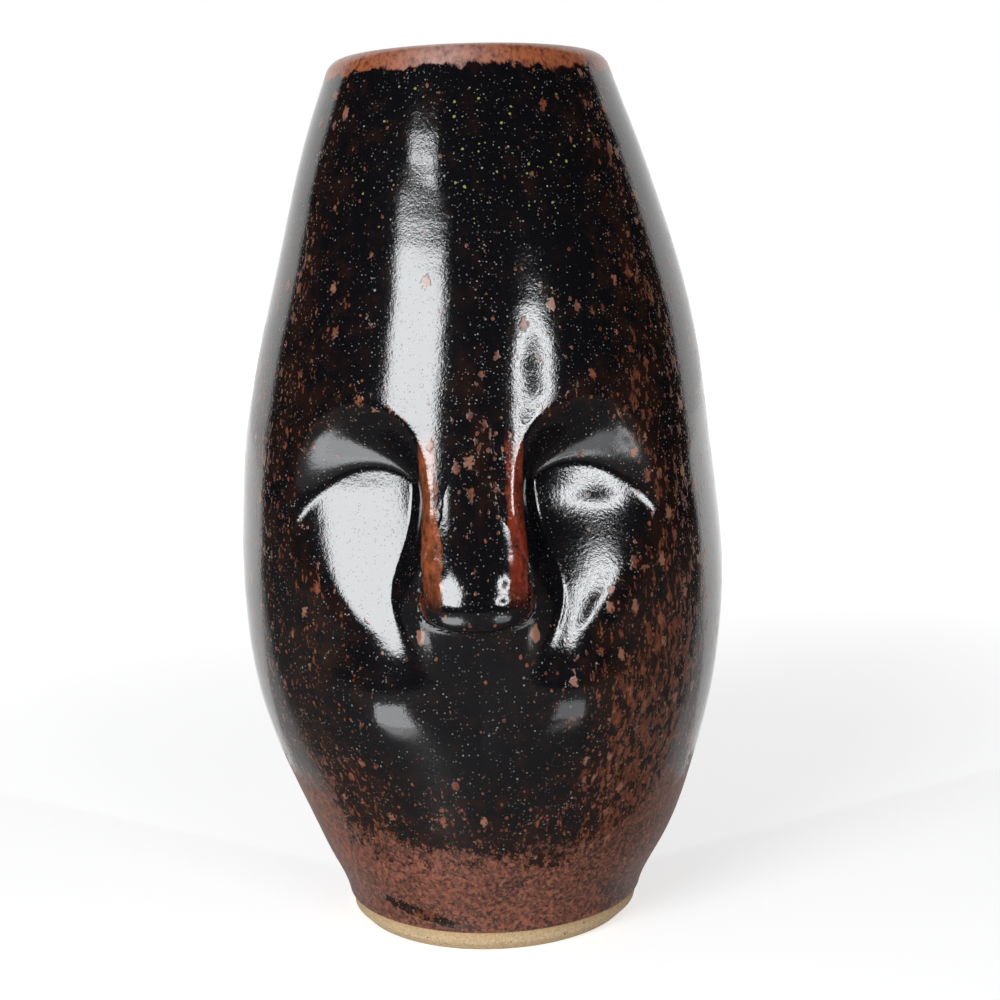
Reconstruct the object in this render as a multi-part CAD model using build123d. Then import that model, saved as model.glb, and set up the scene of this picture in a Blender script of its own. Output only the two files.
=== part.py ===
from build123d import *
import math
import os

# A thrown stoneware vase with a stylised face pressed and modelled into its front.
# Millimetres, +Z up. The origin is the centre of the foot, on the surface that the vase stands on.
# The face looks along -Y.

# Thrown form
height = 240.0
foot_radius = 41.0
belly_radius = 67.3
belly_height = 100.0
mouth_radius = 37.3

# Share of the height from foot to belly, and share of the swell from foot radius to belly radius
flank_shares = ((0.0, 0.0), (0.07, 0.06), (0.18, 0.26), (0.39, 0.58), (0.60, 0.83), (0.80, 0.96), (1.0, 1.0))

# Share of the height from belly to mouth, and share of the swell that is left there
shoulder_shares = ((0.21, 0.94), (0.43, 0.79), (0.64, 0.55), (0.86, 0.24), (1.0, 0.0))

# The thrown wall leans a little sideways: share of the height, of the largest lean, and of the height it takes
largest_lean = 1.4
lean_shares = ((0.12, 1.0, 0.063), (0.56, -0.36, 0.058), (0.76, 0.79, 0.08))

# Wall, floor and foot
wall = 5.5
floor_thickness = 6.5
floor_corner = 14.0
lip_round = 2.2
foot_bevel = 2.5
foot_ring = 7.0
foot_recess = 2.5

# Glaze
glaze = 0.6
bare_foot = 6.0

# Eye sockets, pressed in with the thumbs under an arched brow; the face is placed by their middle
face_height = 130.0
socket_depth = 14.0
socket_side = 30.0
socket_inner = 20.5
socket_outer = 22.0
socket_wall = 9.5
socket_yield = 5.0
socket_yield_length = 9.0
socket_reach = 57.5
socket_drop = 46.0
socket_run = 41.0
socket_bowl = 6.0
socket_soft = 1.6
brow_rise = 22.7
brow_fall = 19.0

# Cheeks, and the hollow under the nose
cheek_side = 27.0
cheek_drop = 57.0
cheek_rise = 4.0
cheek_width = 13.0
cheek_length = 10.0
lip_drop = 45.0
lip_depth = 1.6
lip_width = 12.0
lip_length = 8.0

# Bridge, where the wall swells towards the nose
ridge_rise = 3.4
ridge_drop = 15.7
ridge_length = 50.0
ridge_soft = 8.0
ridge_foot = 26.5
ridge_full = 21.2

# Nose, a wedge of clay luted on below the bridge
nose_drop = 34.3
nose_end = 7.8
nose_flare = 28.0
nose_tip_half = 14.6
nose_bridge_half = 11.2
nose_proud = 0.5
nose_sink = 0.25
nose_ball_rise = 2.4
nose_ball_drop = 29.0
nose_ball_length = 4.8
nose_tip_crown = 27.0
nose_bridge_crown = 64.0
nose_crown_start = 1.5
nose_crown_run = 8.0
nose_root = 8.0
nose_end_power = 2.6
nose_tip_power = 4.0
nose_side_power = 5.0

# How finely the hand-made surfaces are followed
points_round = 72
front_density = 0.6
row_step = 4.0
band_rows = 2
arc_steps = 4
nose_points = 48
nose_row_step = 3.0
nose_end_steps = 6


def smooth_through(stations):
    """The natural cubic curve through (place, value) stations, as a function of the place."""
    places = [place for place, value in stations]
    values = [value for place, value in stations]
    last = len(stations) - 1
    gaps = [places[i + 1] - places[i] for i in range(last)]
    slopes = [(values[i + 1] - values[i]) / gaps[i] for i in range(last)]
    ratios = [0.0] * (last + 1)
    bends = [0.0] * (last + 1)
    for i in range(1, last):
        pivot = 2 * (gaps[i - 1] + gaps[i]) - gaps[i - 1] * ratios[i - 1]
        ratios[i] = gaps[i] / pivot
        bends[i] = (6 * (slopes[i] - slopes[i - 1]) - gaps[i - 1] * bends[i - 1]) / pivot
    for i in range(last - 1, 0, -1):
        bends[i] -= ratios[i] * bends[i + 1]

    def value_at(place):
        i = 0
        while i < last - 1 and place > places[i + 1]:
            i += 1
        ahead = place - places[i]
        back = places[i + 1] - place
        cubic = (bends[i] * back**3 + bends[i + 1] * ahead**3) / (6 * gaps[i])
        from_left = (values[i] / gaps[i] - bends[i] * gaps[i] / 6) * back
        from_right = (values[i + 1] / gaps[i] - bends[i + 1] * gaps[i] / 6) * ahead
        return cubic + from_left + from_right

    return value_at


def smooth_step(share):
    """0 below 0, 1 above 1, and a smooth S between."""
    share = min(max(share, 0.0), 1.0)
    return share * share * (3 - 2 * share)


def hump(distance, spread):
    """A bell of height 1 that fades over the spread."""
    return math.exp(-0.5 * (distance / spread) ** 2)


def ramp(value, softness):
    """0 below 0 and the value itself above, rounded between."""
    return (value + math.hypot(value, softness)) / 2


flank = [
    (foot_bevel + up * (belly_height - foot_bevel), foot_radius + swell * (belly_radius - foot_radius))
    for up, swell in flank_shares
]
shoulder = [
    (belly_height + up * (height - belly_height), mouth_radius + swell * (belly_radius - mouth_radius))
    for up, swell in shoulder_shares
]
profile = smooth_through(flank + shoulder)
nose_low = face_height - nose_drop
nose_widest = nose_low + nose_end
ridge_top = face_height + ridge_drop


def lean(z):
    """How far the thrown form stands to one side at a height."""
    return sum(
        largest_lean * shift * hump(z - height * centre, height * spread)
        for centre, shift, spread in lean_shares
    )


def brow_line(side):
    """Height of the brow's crest at a distance from the centre line."""
    inward = (socket_side - side) / socket_inner
    outward = (side - socket_side) / socket_outer
    share = min(max(inward, outward), 1.0)
    return face_height + brow_rise * math.sqrt(1 - share**2)


def bridge_rise(z):
    """How far the bridge swells out of the thrown form."""
    return ridge_rise * ramp(ridge_top - z, ridge_soft) / ridge_length


def relief(side, z):
    """How far the pressed face stands out of the thrown form, at an arc from the centre line."""
    side = abs(side)
    under_brow = smooth_step((brow_line(side) - z) / brow_fall)
    wall_foot = socket_side - socket_inner + socket_yield * hump(z - nose_widest, socket_yield_length)
    beside_nose = smooth_step((side - wall_foot) / socket_wall)
    level = (z - face_height + socket_drop) / socket_run
    level -= ramp(level - 1, socket_bowl / socket_run)
    cut = ramp(socket_depth * (level - (side / socket_reach) ** 2), socket_soft)
    socket = cut * under_brow * beside_nose
    ridge = bridge_rise(z) * (1 - beside_nose) * smooth_step((z - face_height + ridge_foot) / ridge_full)
    cheek = cheek_rise * hump(side - cheek_side, cheek_width)
    cheek *= hump(z - face_height + cheek_drop, cheek_length)
    lip = lip_depth * hump(side, lip_width) * hump(z - face_height + lip_drop, lip_length)
    return ridge + cheek - socket - lip


def skin_point(angle, z, offset):
    """A point of the vase's surface at an angle from the face's centre line."""
    thrown_radius = profile(min(max(z, foot_bevel), height))
    side = thrown_radius * math.remainder(angle, math.tau)
    radius = thrown_radius + relief(side, z) + offset
    return (lean(z) + radius * math.sin(angle), -radius * math.cos(angle), z)


def nose_half(z):
    """Half the nose's width."""
    below = min(max((nose_widest - z) / nose_end, 0.0), 1.0)
    above = min(max((z - nose_widest) / nose_flare, 0.0), 1.0)
    half = nose_bridge_half + (nose_tip_half - nose_bridge_half) * math.cos(math.pi / 2 * above) ** 2
    return half * (1 - below**nose_end_power) ** (1 / nose_end_power)


def nose_rise(z):
    """How far the nose's ridge stands out of the thrown form."""
    ridge = bridge_rise(z) + nose_proud * smooth_step((ridge_top - z) / nose_flare) - nose_sink
    ball = nose_ball_rise * hump(z - face_height + nose_ball_drop, nose_ball_length)
    below = min(max((nose_widest - z) / nose_end, 0.0), 1.0)
    return (ridge + ball) * (1 - below**nose_tip_power) ** (1 / nose_tip_power)


def nose_crown(z):
    """Curvature across the nose."""
    flat = smooth_step((z - nose_widest - nose_crown_start) / nose_crown_run)
    return 1 / nose_tip_crown + (1 / nose_bridge_crown - 1 / nose_tip_crown) * flat


def power(value, exponent):
    return math.copysign(abs(value) ** exponent, value)


def nose_point(turn, z, grow):
    """A point round the nose's rounded section at one height."""
    half = nose_half(z) + grow
    centre = profile(z) - nose_root
    reach = nose_root + nose_rise(z) + grow
    across = half * power(math.cos(turn), 2 / nose_side_power)
    out = reach * power(math.sin(turn), 2 / nose_side_power)
    crown = across**2 * nose_crown(z) / 2
    return (lean(z) + across, -(centre + out - crown), z)


def loft_rows(rows, spacing):
    """A closed solid through rows of points, in smooth bands of a few rows each."""
    wires = [Wire([Edge.make_spline(row, periodic=True, parameters=spacing)]) for row in rows]
    faces = [Face(wires[0]), Face(wires[-1])]
    for first in range(0, len(wires) - 1, band_rows):
        band = Solid.make_loft(wires[first : first + band_rows + 1])
        faces += [face for face in band.faces() if face.geom_type != GeomType.PLANE]
    return Solid(Shell(faces))


def skin_solid(rows):
    """The solid inside the vase's surface, through rows of (height, offset)."""
    turns = [math.tau * i / points_round for i in range(points_round + 1)]
    angles = [turn - front_density * math.sin(turn) for turn in turns]
    outlines = [[skin_point(angle, z, offset) for angle in angles[:-1]] for z, offset in rows]
    return loft_rows(outlines, turns)


def nose_solid(grow):
    """The nose's wedge, from inside the wall out to its skin."""
    turns = [math.tau * i / nose_points for i in range(nose_points + 1)]
    quarters = [math.pi / 2 * i / (nose_end_steps + 1) for i in range(nose_end_steps, 0, -1)]
    depths = [math.sin(quarter) for quarter in quarters]
    levels = [(nose_widest - depth * nose_end, nose_widest - depth * (nose_end + grow)) for depth in depths]
    run = ridge_top - nose_widest
    count = round(run / nose_row_step)
    levels += [(nose_widest + i * run / count, nose_widest + i * run / count) for i in range(count + 1)]
    rows = []
    for level, z in levels:
        row = [nose_point(turn, level, grow) for turn in turns[:-1]]
        rows.append([(x, y, z) for x, y, same in row])
    return loft_rows(rows, turns)


def wall_rows(low, high, offset):
    """Even rows between two heights, without the last one."""
    count = max(round((high - low) / row_step), 1)
    return [(low + i * (high - low) / count, offset) for i in range(count)]


def quarter_rows(centre_z, centre_offset, radius, start, end):
    """Rows along an arc in the wall's section; the angles are measured from outward towards up."""
    rows = []
    for i in range(arc_steps + 1):
        angle = math.radians(start + (end - start) * i / arc_steps)
        rows.append((centre_z + radius * math.sin(angle), centre_offset + radius * math.cos(angle)))
    return rows


def outer_skin(low, grow):
    """The outside, up and over the lip to its crest."""
    shoulder_top = height - lip_round
    lip = quarter_rows(shoulder_top, -lip_round, lip_round + grow, 0, 90)
    return skin_solid(wall_rows(low, shoulder_top, grow) + lip)


def inner_skin(grow):
    """The hollow, from the floor's round corner up to the lip's crest."""
    corner_top = floor_level + floor_corner
    lip_base = height - lip_round
    corner = quarter_rows(corner_top, -wall - floor_corner, floor_corner - grow, -90, 0)
    lip = quarter_rows(lip_base, lip_round - wall, lip_round + grow, 180, 90)
    side = wall_rows(corner_top, lip_base, -wall - grow)
    return skin_solid(corner + side[1:] + lip)


standing = (Align.CENTER, Align.CENTER, Align.MIN)
floor_level = foot_recess + floor_thickness
thrown = outer_skin(0.0, 0.0)
hollow = inner_skin(0.0)
inner_surface = inner_skin(glaze)
nose_clay = nose_solid(0.0)


def make_body():
    """The thrown clay: wall, floor and turned foot, with the face pressed in."""
    outside = foot_radius + foot_bevel
    bevel = Polygon(
        (foot_radius - foot_bevel, 0),
        (outside, 0),
        (outside, 2 * foot_bevel),
        align=None,
    )
    bevel_cut = revolve(Plane.XZ * bevel, Axis.Z)
    recess_radius = foot_radius - foot_bevel - foot_ring
    recess = Cone(recess_radius, recess_radius - foot_recess, foot_recess, align=standing)
    return thrown - hollow - bevel_cut - recess


def make_nose():
    return nose_clay - thrown


def make_outer_glaze():
    """The fired skin over the outside and the nose, from above the bare foot and over the lip."""
    skin = outer_skin(bare_foot, glaze) + nose_solid(glaze)
    return skin - thrown - nose_clay - inner_surface


def make_liner_glaze():
    """The fired skin inside, from the lip's inner edge down and over the floor."""
    return hollow - inner_surface


pieces = {
    "stoneware_body": make_body,
    "nose": make_nose,
    "outer_glaze": make_outer_glaze,
    "liner_glaze": make_liner_glaze,
}

os.makedirs("parts", exist_ok=True)
for name, make in pieces.items():
    piece = make()
    export_step(piece, f"parts/{name}.step")
    print(name, len(piece.solids()), round(piece.volume), piece.is_valid)
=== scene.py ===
"""A face vase: thrown stoneware with a face pressed into it, under a dark iron glaze, on a pale table."""

import math
from types import SimpleNamespace

import bmesh
import bpy
from mathutils import Matrix, Vector
from mathutils.bvhtree import BVHTree


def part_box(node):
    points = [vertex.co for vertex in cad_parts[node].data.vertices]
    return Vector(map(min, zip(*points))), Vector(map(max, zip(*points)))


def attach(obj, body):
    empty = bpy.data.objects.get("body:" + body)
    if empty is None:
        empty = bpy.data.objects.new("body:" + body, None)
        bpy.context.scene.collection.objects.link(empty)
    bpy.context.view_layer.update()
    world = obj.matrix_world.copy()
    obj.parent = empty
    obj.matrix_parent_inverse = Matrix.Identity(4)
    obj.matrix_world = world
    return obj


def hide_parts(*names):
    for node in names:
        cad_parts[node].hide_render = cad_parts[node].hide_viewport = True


bl_info = {
    "name": "Face Vase",
    "version": (1, 0, 0),
    "blender": (4, 5, 0),
    "location": "3D View > Sidebar > Face Vase",
    "description": "Throws, presses and glazes a stoneware face vase, and sets it on a pale table",
    "category": "Add Mesh",
}

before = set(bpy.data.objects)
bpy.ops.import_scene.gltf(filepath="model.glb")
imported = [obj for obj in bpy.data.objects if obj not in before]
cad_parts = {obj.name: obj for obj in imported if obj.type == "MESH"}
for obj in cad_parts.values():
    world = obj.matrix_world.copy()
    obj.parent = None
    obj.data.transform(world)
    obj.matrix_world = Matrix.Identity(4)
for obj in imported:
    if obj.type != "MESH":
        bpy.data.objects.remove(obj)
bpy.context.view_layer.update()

CLAY_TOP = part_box("stoneware_body")[1].z
GLAZE_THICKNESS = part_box("outer_glaze")[1].z - CLAY_TOP

# Share of the height from foot to belly, and share of the swell from foot radius to belly radius
FLANK_SHARES = ((0.0, 0.0), (0.07, 0.06), (0.18, 0.26), (0.39, 0.58), (0.60, 0.83), (0.80, 0.96), (1.0, 1.0))

# Share of the height from belly to mouth, and share of the swell that is left there
SHOULDER_SHARES = ((0.21, 0.94), (0.43, 0.79), (0.64, 0.55), (0.86, 0.24), (1.0, 0.0))

# The wall's sideways lean: share of the height, of the largest lean, and of the height it takes
LEAN_SHARES = ((0.12, 1.0, 0.063), (0.56, -0.36, 0.058), (0.76, 0.79, 0.08))

# Sizes of the thrown form that are inputs of the wall's node tree
THROWING_SIZES = ("ring_pitch", "ring_depth", "wave_size", "wave_depth", "seam_gap")

# Millimetres in a metre, and the width in pixels that the focal length is given for
MILLIMETRES = 1000.0
PICTURE_WIDTH = 1000.0

# Steps between the rows of a section, in metres
PLAIN_STEP = 0.0016
CHIN_STEP = 0.0011
CREASE_STEP = 0.0005
FACE_STEP = 0.0008
NOSE_STEP = 0.0006
HIDDEN_STEP = 0.005
LINER_STEP = 0.002
FLOOR_STEP = 0.004
FOOT_STEP = 0.0005
RING_STEP = 0.0007
RECESS_STEP = 0.0012

# Steps along the arcs of a section
EDGE_STEPS = 4
LIP_STEPS = 6
LIP_END_STEPS = 3
CORNER_STEPS = 8

# Where the steps on the outside change: a height, and distances from the sockets' middle and the nose's end
CHIN_HEIGHT = 0.06
BROW_TOP = 0.034
NOSE_END_DROP = 0.034
CREASE_BELOW = 0.004
CREASE_ABOVE = 0.014

# The nose's rows and columns, and the share of its half width at which a column turns its corner
NOSE_END_ROWS = 16
NOSE_SIDE_COLUMNS = 14
NOSE_TOP_COLUMNS = 22
NOSE_CORNER_SHARE = 0.9

# The hand-made unevenness: its seed, its vertical squeeze, and the height under which the spiral fades
WAVE_SEED = 7
WAVE_SQUEEZE = 1.6
CALM_HEIGHT = 0.04

# Share of the height over the ridge's foot at which the bridge has its full swell
RIDGE_FULL_SHARE = 0.8

# How far from the nose the skin is looked at for pooled glaze
POOL_REACH = 0.004

# Soft patches of the glaze in millimetres: centre and spread of the arc, then of the height
RUSTY_CHEEK = (46.0, 15.0, 62.0, 32.0)
RUSTY_BRIDGE = (3.0, 6.0, 139.0, 12.0)
RIGHT_STREAK = (15.0, 9.0, 30.0, 3.4)
NOSE_DRIP = (14.4, 1.1, 93.5, 2.4)
GREEN_SHOULDER = (10.0, 22.0, 214.0, 13.0)

# Lamps and cards in degrees: azimuth, elevation, width and height, or for the ring its two diameters
WINDOW = (-31.0, 21.3, 24.5, 23.0)
WINDOW_TOP = (-32.0, 39.1, 14.0, 3.6)
RING = (29.0, 17.5, 18.0, 10.0)
LEFT_CARD = (-26.0, -30.0, 19.0, 17.0)
RIGHT_CARD = (24.0, -30.0, 16.0, 14.0)
RIGHT_CARD_SHARE = 0.4
LAMP_DISTANCE = 1.0
CARD_DISTANCE = 0.186
RING_POINTS = 64

# Dark sheets round the front: the angle at which the pale backdrop starts, then radii and heights
SHEET_OPENING = 122.0
SHEET_STEPS = 48
SHEET_RADIUS = 1.4
SURROUND_LOW = 0.001
SURROUND_HIGH = 1.6
TABLE_INNER = 0.043
TABLE_HEIGHT = 0.0008

# The floor's half width, and its glow near the vase and what it gains further out
FLOOR_REACH = 4.0
FLOOR_GLOW = 0.60
FLOOR_GLOW_GAIN = 0.40


def length(name, description, default):
    """A property that holds a length."""
    return bpy.props.FloatProperty(
        name=name, description=description, default=default, unit="LENGTH", precision=4
    )


def colour(name, description, default):
    """A property that holds a colour."""
    return bpy.props.FloatVectorProperty(
        name=name, description=description, default=default, subtype="COLOR", size=3, min=0.0, max=1.0
    )


def number(name, description, default, **limits):
    """A property that holds a plain number."""
    return bpy.props.FloatProperty(name=name, description=description, default=default, **limits)


class ThrownForm(bpy.types.PropertyGroup):
    """Sizes of the form that is thrown on the wheel."""

    height: length("Height", "Height of the clay at the lip", CLAY_TOP)
    foot_radius: length("Foot Radius", "Radius just above the foot's bevel", 0.041)
    belly_radius: length("Belly Radius", "Largest radius of the clay", 0.0673)
    belly_height: length("Belly Height", "Height of the largest radius", 0.1)
    mouth_radius: length("Mouth Radius", "Outer radius at the lip", 0.0373)
    largest_lean: length("Largest Lean", "How far the wall leans to one side", 0.0014)
    wall: length("Wall", "Thickness of the clay wall", 0.0055)
    floor_thickness: length("Floor", "Thickness of the clay floor", 0.0065)
    floor_corner: length("Floor Corner", "Radius inside, between floor and wall", 0.014)
    lip_round: length("Lip Round", "Radius of the lip's edges", 0.0022)
    foot_bevel: length("Foot Bevel", "Bevel under the foot's edge", 0.0025)
    foot_ring: length("Foot Ring", "Width of the ring that the vase stands on", 0.007)
    foot_recess: length("Foot Recess", "Depth of the hollow inside the foot ring", 0.0025)
    glaze: length("Glaze", "Thickness of the glaze", GLAZE_THICKNESS)
    bare_foot: length("Bare Foot", "Height that is left without glaze", 0.006)
    ring_pitch: length("Ring Pitch", "Rise of the throwing spiral in one turn", 0.0072)
    ring_depth: length("Ring Depth", "Depth of the throwing spiral", 0.000012)
    wave_size: length("Wave Size", "Width of the hand-made unevenness", 0.034)
    wave_depth: length("Wave Depth", "Depth of the hand-made unevenness", 0.0006)
    seam_gap: length("Seam Gap", "Points closer than this are joined", 0.000002)
    columns: bpy.props.IntProperty(
        name="Columns", description="Columns of faces round the vase", default=300, min=24
    )
    front_density: number("Front Density", "How much finer the columns are in front", 0.62, min=0.0, max=0.9)


class PressedFace(bpy.types.PropertyGroup):
    """Sizes of the face that is pressed into the wall."""

    face_height: length("Face Height", "Height of the middle of the sockets", 0.13)
    socket_depth: length("Socket Depth", "Depth of the sockets beside the nose", 0.014)
    socket_side: length("Socket Side", "Arc from the centre line to a brow's highest place", 0.030)
    socket_inner: length("Socket Inner", "From a brow's highest place in to the nose", 0.0205)
    socket_outer: length("Socket Outer", "From a brow's highest place out to its end", 0.022)
    socket_wall: length("Socket Wall", "Width of the slope beside the nose", 0.0095)
    socket_yield: length("Socket Yield", "How far the sockets keep off the nose's widest place", 0.005)
    socket_yield_length: length("Socket Yield Length", "Spread of that up and down", 0.009)
    socket_reach: length("Socket Reach", "Arc from the centre line at which a socket runs out", 0.0575)
    socket_drop: length("Socket Drop", "Height under the middle at which a socket runs out", 0.046)
    socket_run: length("Socket Run", "Height over which a socket gets to its depth", 0.041)
    socket_bowl: length("Socket Bowl", "Rounding between a socket's slope and its deep part", 0.006)
    socket_soft: length("Socket Softness", "Rounding where a socket runs out", 0.0016)
    brow_rise: length("Brow Rise", "Height of the brows over the sockets' middle", 0.0227)
    brow_fall: length("Brow Fall", "Height of the slope under a brow", 0.019)
    cheek_side: length("Cheek Side", "Arc from the centre line to a cheek", 0.027)
    cheek_drop: length("Cheek Drop", "Height of a cheek under the sockets' middle", 0.057)
    cheek_rise: length("Cheek Rise", "How far a cheek stands out", 0.004)
    cheek_width: length("Cheek Width", "Spread of a cheek sideways", 0.013)
    cheek_length: length("Cheek Length", "Spread of a cheek up and down", 0.010)
    lip_drop: length("Lip Drop", "Height of the hollow under the nose, below the sockets' middle", 0.045)
    lip_depth: length("Lip Depth", "Depth of the hollow under the nose", 0.0016)
    lip_width: length("Lip Width", "Spread of that hollow sideways", 0.012)
    lip_length: length("Lip Length", "Spread of that hollow up and down", 0.008)
    ridge_rise: length("Ridge Rise", "How far the bridge would swell at the nose's end", 0.0034)
    ridge_drop: length("Ridge Drop", "Height of the bridge's start over the sockets' middle", 0.0157)
    ridge_length: length("Ridge Length", "Height over which the bridge swells", 0.05)
    ridge_soft: length("Ridge Softness", "Rounding where the bridge starts", 0.008)
    ridge_foot: length("Ridge Foot", "Height under the middle at which the nose takes over", 0.0265)


# Every size of the pressed face is an input of the wall's node tree
PRESSED_SIZES = tuple(PressedFace.__annotations__)


class WedgeNose(bpy.types.PropertyGroup):
    """Sizes of the nose that is luted on."""

    drop: length("Drop", "Height of the nose's end below the sockets' middle", 0.0343)
    end: length("End", "Height of the rounded lower end", 0.0078)
    flare: length("Flare", "Height over which the nose narrows to the bridge", 0.028)
    tip_half: length("Tip Half", "Half the width at the tip", 0.0146)
    bridge_half: length("Bridge Half", "Half the width at the bridge", 0.0112)
    proud: length("Proud", "How far the nose stands out of the bridge", 0.0005)
    sink: length("Sink", "How deep the nose's upper end lies in the bridge", 0.00025)
    ball_rise: length("Ball Rise", "How far the ball of the tip stands out", 0.0024)
    ball_drop: length("Ball Drop", "Height of the ball below the sockets' middle", 0.029)
    ball_length: length("Ball Length", "Spread of the ball up and down", 0.0048)
    tip_crown: length("Tip Crown", "Radius across the tip", 0.027)
    bridge_crown: length("Bridge Crown", "Radius across the bridge", 0.064)
    crown_start: length("Crown Start", "Height over the widest place where it starts to flatten", 0.0015)
    crown_run: length("Crown Run", "Height over which the ridge flattens", 0.008)
    root: length("Root", "Depth of the nose's widest place in the wall", 0.008)
    pool: length("Pool", "Radius of the glaze that pools in the crease", 0.0014)
    end_power: number("End Power", "Squareness of the lower end, seen from the front", 2.6)
    tip_power: number("Tip Power", "Squareness of the lower end, seen from the side", 4.0)
    side_power: number("Side Power", "Squareness of the section", 5.0)


class KilnColours(bpy.types.PropertyGroup):
    """Colours of the clay and of the glaze as fired."""

    glaze_black: colour("Glaze Black", "The glaze where it is thick", (0.0045, 0.0042, 0.0055))
    glaze_brown: colour("Glaze Brown", "The glaze where it starts to break", (0.020, 0.009, 0.0065))
    rust: colour("Rust", "The glaze where it breaks on an edge", (0.26, 0.078, 0.034))
    rust_red: colour("Rust Red", "The redder rust", (0.13, 0.036, 0.020))
    rust_pink: colour("Rust Pink", "The paler, pinkish rust", (0.33, 0.145, 0.092))
    rim: colour("Rim", "The thin glaze on the lip", (0.45, 0.125, 0.050))
    # A painted highlight: the pale pinkish colour in the middle of the lip
    rim_highlight: colour("Pale Rim", "The painted_highlight place on the lip", (0.62, 0.44, 0.40))
    nose_orange: colour("Nose Orange", "The rust on the nose's left edge", (0.33, 0.085, 0.030))
    nose_red: colour("Nose Red", "The rust on the nose's right edge", (0.26, 0.036, 0.016))
    foot_rust: colour("Foot Rust", "The thin glaze above the foot", (0.39, 0.122, 0.062))
    speck: colour("Speck", "The fine pale specks", (0.34, 0.35, 0.31))
    speck_green: colour("Green Speck", "The yellow-green specks near the lip", (0.34, 0.38, 0.10))
    clay: colour("Clay", "The bare fired clay", (0.72, 0.53, 0.31))
    clay_flush: colour("Clay Flush", "The warm flush at the glaze's edge", (0.60, 0.33, 0.12))
    grog: colour("Grog", "The dark specks in the clay", (0.13, 0.075, 0.035))
    liner: colour("Liner", "The glaze inside", (0.035, 0.016, 0.011))


class PhotoStudio(bpy.types.PropertyGroup):
    """The camera's place and turn, and how bright the lamps are."""

    camera_distance: length("Camera Distance", "Distance from the vase's axis", 0.47)
    camera_height: length("Camera Height", "Height over the table", 0.185)
    camera_shift: length("Camera Shift", "Sideways shift of the camera", 0.0003)
    focal_px: number("Focal Length in Pixels", "Focal length for a picture 1000 pixels wide", 1663.27)
    orbit: number("Orbit", "Camera's angle round the vase, in degrees", 1.6)
    pitch: number("Pitch", "Camera's tilt down, in degrees", 8.1068)
    roll: number("Roll", "Camera's roll, in degrees", -1.7645)
    yaw: number("Yaw", "Camera's turn aside, in degrees", 0.6172)
    window: number("Window", "Radiance of the left window light", 9.0)
    ring: number("Ring", "Radiance of the right ring light", 11.5)
    card: number("Card", "Radiance of the left card on the table", 3.4)
    ambient: number("Ambient", "Strength of the world on matt surfaces", 0.2)


# Shapes

def smooth_through(stations):
    """The natural cubic curve through (place, value) stations, as a function of the place."""
    places = [place for place, value in stations]
    values = [value for place, value in stations]
    last = len(stations) - 1
    gaps = [places[i + 1] - places[i] for i in range(last)]
    slopes = [(values[i + 1] - values[i]) / gaps[i] for i in range(last)]
    ratios = [0.0] * (last + 1)
    bends = [0.0] * (last + 1)
    for i in range(1, last):
        pivot = 2 * (gaps[i - 1] + gaps[i]) - gaps[i - 1] * ratios[i - 1]
        ratios[i] = gaps[i] / pivot
        bends[i] = (6 * (slopes[i] - slopes[i - 1]) - gaps[i - 1] * bends[i - 1]) / pivot
    for i in range(last - 1, 0, -1):
        bends[i] -= ratios[i] * bends[i + 1]

    def value_at(place):
        i = 0
        while i < last - 1 and place > places[i + 1]:
            i += 1
        ahead = place - places[i]
        back = places[i + 1] - place
        cubic = (bends[i] * back**3 + bends[i + 1] * ahead**3) / (6 * gaps[i])
        from_left = (values[i] / gaps[i] - bends[i] * gaps[i] / 6) * back
        from_right = (values[i + 1] / gaps[i] - bends[i + 1] * gaps[i] / 6) * ahead
        return cubic + from_left + from_right

    return value_at


def thrown_profile(form):
    """Radius of the thrown clay as a function of the height."""
    flank = [
        (
            form.foot_bevel + up * (form.belly_height - form.foot_bevel),
            form.foot_radius + swell * (form.belly_radius - form.foot_radius),
        )
        for up, swell in FLANK_SHARES
    ]
    shoulder = [
        (
            form.belly_height + up * (form.height - form.belly_height),
            form.mouth_radius + swell * (form.belly_radius - form.mouth_radius),
        )
        for up, swell in SHOULDER_SHARES
    ]
    curve = smooth_through(flank + shoulder)
    return lambda z: curve(min(max(z, form.foot_bevel), form.height))


def hump(distance, spread):
    """A bell of height 1 that fades over the spread."""
    return math.exp(-0.5 * (distance / spread) ** 2)


def lean(form, z):
    """How far the thrown form stands to one side at a height."""
    return sum(
        form.largest_lean * shift * hump(z - form.height * centre, form.height * spread)
        for centre, shift, spread in LEAN_SHARES
    )


def even(low, high, step):
    """Even places from low up to, but without, high; or down, if high is the lower."""
    count = max(round(abs(high - low) / step), 1)
    return [low + (high - low) * i / count for i in range(count)]


def arc(centre_offset, centre_z, radius, start, end, steps):
    """Rows along an arc of the wall's section; angles in degrees from outward towards up."""
    rows = []
    for i in range(steps + 1):
        angle = math.radians(start + (end - start) * i / steps)
        rows.append((centre_offset + radius * math.cos(angle), centre_z + radius * math.sin(angle)))
    return rows


def outside_heights(form, face):
    """Heights of the rows on the outside, closest together where the face is."""
    nose_end = face.face_height - NOSE_END_DROP
    stops = (
        (form.bare_foot + form.glaze, PLAIN_STEP),
        (CHIN_HEIGHT, CHIN_STEP),
        (nose_end - CREASE_BELOW, CREASE_STEP),
        (nose_end + CREASE_ABOVE, FACE_STEP),
        (face.face_height + BROW_TOP, PLAIN_STEP),
        (form.height - form.lip_round, 0.0),
    )
    heights = []
    for (low, step), (high, _) in zip(stops, stops[1:]):
        heights += even(low, high, step)
    return heights


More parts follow.
